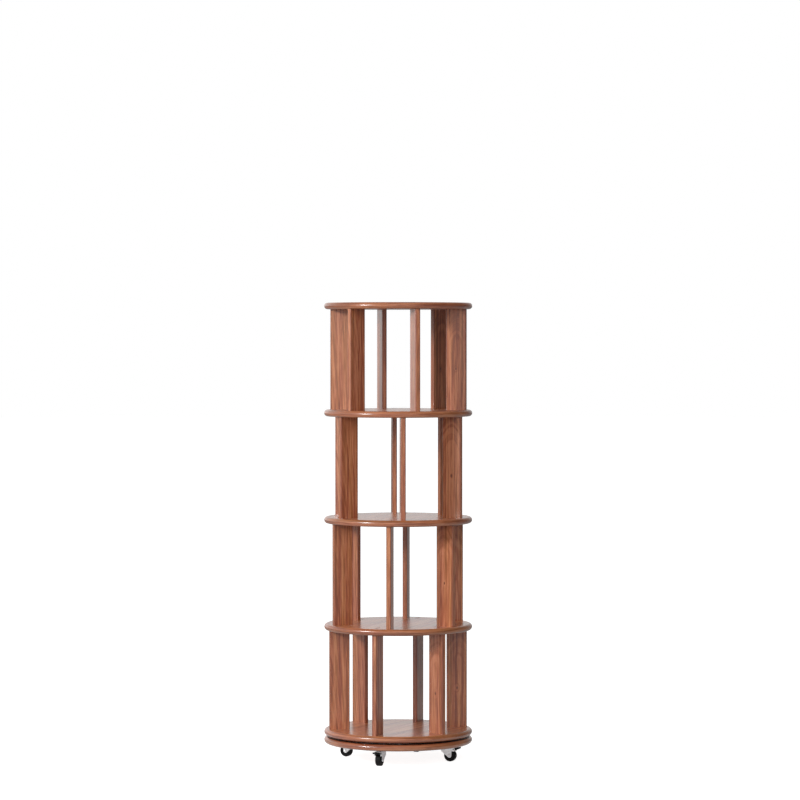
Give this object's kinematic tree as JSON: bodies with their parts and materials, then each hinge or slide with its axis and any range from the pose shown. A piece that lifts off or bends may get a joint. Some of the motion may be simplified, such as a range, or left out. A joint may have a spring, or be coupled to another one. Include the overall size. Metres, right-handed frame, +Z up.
{
  "type": "revolving bookcase",
  "caption": "Round wooden bookcase whose open tiers of radial dividers and round shelves turn together on a fixed base disc with braked swivel casters.",
  "frame": {"origin": "on the floor, under the turning axis", "axes": "+Z up along the turning axis, -Y towards the front of the picture, +X to the right seen from the front"},
  "size_m": [0.46, 0.46, 1.42],
  "materials": {
    "wood": "red-brown stained wood with straight grain under satin lacquer",
    "bearing_aluminium": "mill finish",
    "zinc_steel": "bright zinc plated sheet and pins",
    "wheel": "black, slightly dull",
    "brake_pedal": "black, fine grained"
  },
  "bodies": {
    "base": {"base_disc": "wood", "turntable_lower_ring": "bearing_aluminium", "front_caster_plate": "zinc_steel", "front_caster_kingpin": "zinc_steel", "right_caster_plate": "zinc_steel", "right_caster_kingpin": "zinc_steel", "back_caster_plate": "zinc_steel", "back_caster_kingpin": "zinc_steel", "left_caster_plate": "zinc_steel", "left_caster_kingpin": "zinc_steel"},
    "ball_cage": {"turntable_ball_cage": "zinc_steel"},
    "carousel": {"turntable_upper_ring": "bearing_aluminium", "bottom_shelf": "wood", "second_shelf": "wood", "third_shelf": "wood", "fourth_shelf": "wood", "top_shelf": "wood", "tier_1_divider_1": "wood", "tier_1_divider_2": "wood", "tier_1_divider_3": "wood", "tier_1_divider_4": "wood", "tier_1_divider_5": "wood", "tier_1_divider_6": "wood", "tier_2_divider_1": "wood", "tier_2_divider_2": "wood", "tier_2_divider_3": "wood", "tier_2_divider_4": "wood", "tier_2_divider_5": "wood", "tier_2_divider_6": "wood", "tier_3_divider_1": "wood", "tier_3_divider_2": "wood", "tier_3_divider_3": "wood", "tier_3_divider_4": "wood", "tier_3_divider_5": "wood", "tier_3_divider_6": "wood", "tier_4_divider_1": "wood", "tier_4_divider_2": "wood", "tier_4_divider_3": "wood", "tier_4_divider_4": "wood", "tier_4_divider_5": "wood", "tier_4_divider_6": "wood"},
    "front_caster_swivel": {"front_caster_fork": "zinc_steel", "front_caster_axle": "zinc_steel"},
    "front_caster_wheel": {"front_caster_wheel": "wheel"},
    "front_caster_brake": {"front_caster_brake_pedal": "brake_pedal"},
    "right_caster_swivel": {"right_caster_fork": "zinc_steel", "right_caster_axle": "zinc_steel"},
    "right_caster_wheel": {"right_caster_wheel": "wheel"},
    "right_caster_brake": {"right_caster_brake_pedal": "brake_pedal"},
    "back_caster_swivel": {"back_caster_fork": "zinc_steel", "back_caster_axle": "zinc_steel"},
    "back_caster_wheel": {"back_caster_wheel": "wheel"},
    "back_caster_brake": {"back_caster_brake_pedal": "brake_pedal"},
    "left_caster_swivel": {"left_caster_fork": "zinc_steel", "left_caster_axle": "zinc_steel"},
    "left_caster_wheel": {"left_caster_wheel": "wheel"},
    "left_caster_brake": {"left_caster_brake_pedal": "brake_pedal"}
  },
  "joints": [
    {"name": "carousel_turn", "type": "hinge", "parent": "base", "child": "carousel", "pos_m": [0, 0, 0.0745], "axis": [0, 0, 1], "continuous": true},
    {"name": "ball_cage_turn", "type": "hinge", "parent": "base", "child": "ball_cage", "pos_m": [0, 0, 0.0745], "axis": [0, 0, 1], "continuous": true},
    {"name": "front_caster_swivel_turn", "type": "hinge", "parent": "base", "child": "front_caster_swivel", "pos_m": [-0.05257, -0.14847, 0.0475], "axis": [0, 0, 1], "continuous": true},
    {"name": "front_caster_wheel_roll", "type": "hinge", "parent": "front_caster_swivel", "child": "front_caster_wheel", "pos_m": [-0.05725, -0.16166, 0.019], "axis": [0.9426, -0.3338, 0], "continuous": true},
    {"name": "front_caster_brake_press", "type": "hinge", "parent": "front_caster_swivel", "child": "front_caster_brake", "pos_m": [-0.06159, -0.17392, 0.039], "axis": [0.9426, -0.3338, 0], "range_deg": [0, 22]},
    {"name": "right_caster_swivel_turn", "type": "hinge", "parent": "base", "child": "right_caster_swivel", "pos_m": [0.14847, -0.05257, 0.0475], "axis": [0, 0, 1], "continuous": true},
    {"name": "right_caster_wheel_roll", "type": "hinge", "parent": "right_caster_swivel", "child": "right_caster_wheel", "pos_m": [0.16166, -0.05725, 0.019], "axis": [0.3338, 0.9426, 0], "continuous": true},
    {"name": "right_caster_brake_press", "type": "hinge", "parent": "right_caster_swivel", "child": "right_caster_brake", "pos_m": [0.17392, -0.06159, 0.039], "axis": [0.3338, 0.9426, 0], "range_deg": [0, 22]},
    {"name": "back_caster_swivel_turn", "type": "hinge", "parent": "base", "child": "back_caster_swivel", "pos_m": [0.05257, 0.14847, 0.0475], "axis": [0, 0, 1], "continuous": true},
    {"name": "back_caster_wheel_roll", "type": "hinge", "parent": "back_caster_swivel", "child": "back_caster_wheel", "pos_m": [0.05725, 0.16166, 0.019], "axis": [-0.9426, 0.3338, 0], "continuous": true},
    {"name": "back_caster_brake_press", "type": "hinge", "parent": "back_caster_swivel", "child": "back_caster_brake", "pos_m": [0.06159, 0.17392, 0.039], "axis": [-0.9426, 0.3338, 0], "range_deg": [0, 22]},
    {"name": "left_caster_swivel_turn", "type": "hinge", "parent": "base", "child": "left_caster_swivel", "pos_m": [-0.14847, 0.05257, 0.0475], "axis": [0, 0, 1], "continuous": true},
    {"name": "left_caster_wheel_roll", "type": "hinge", "parent": "left_caster_swivel", "child": "left_caster_wheel", "pos_m": [-0.16166, 0.05725, 0.019], "axis": [-0.3338, -0.9426, 0], "continuous": true},
    {"name": "left_caster_brake_press", "type": "hinge", "parent": "left_caster_swivel", "child": "left_caster_brake", "pos_m": [-0.17392, 0.06159, 0.039], "axis": [-0.3338, -0.9426, 0], "range_deg": [0, 22]}
  ],
  "couplings": [
    {"joint": "ball_cage_turn", "follows": "carousel_turn", "ratio": 0.492}
  ]
}
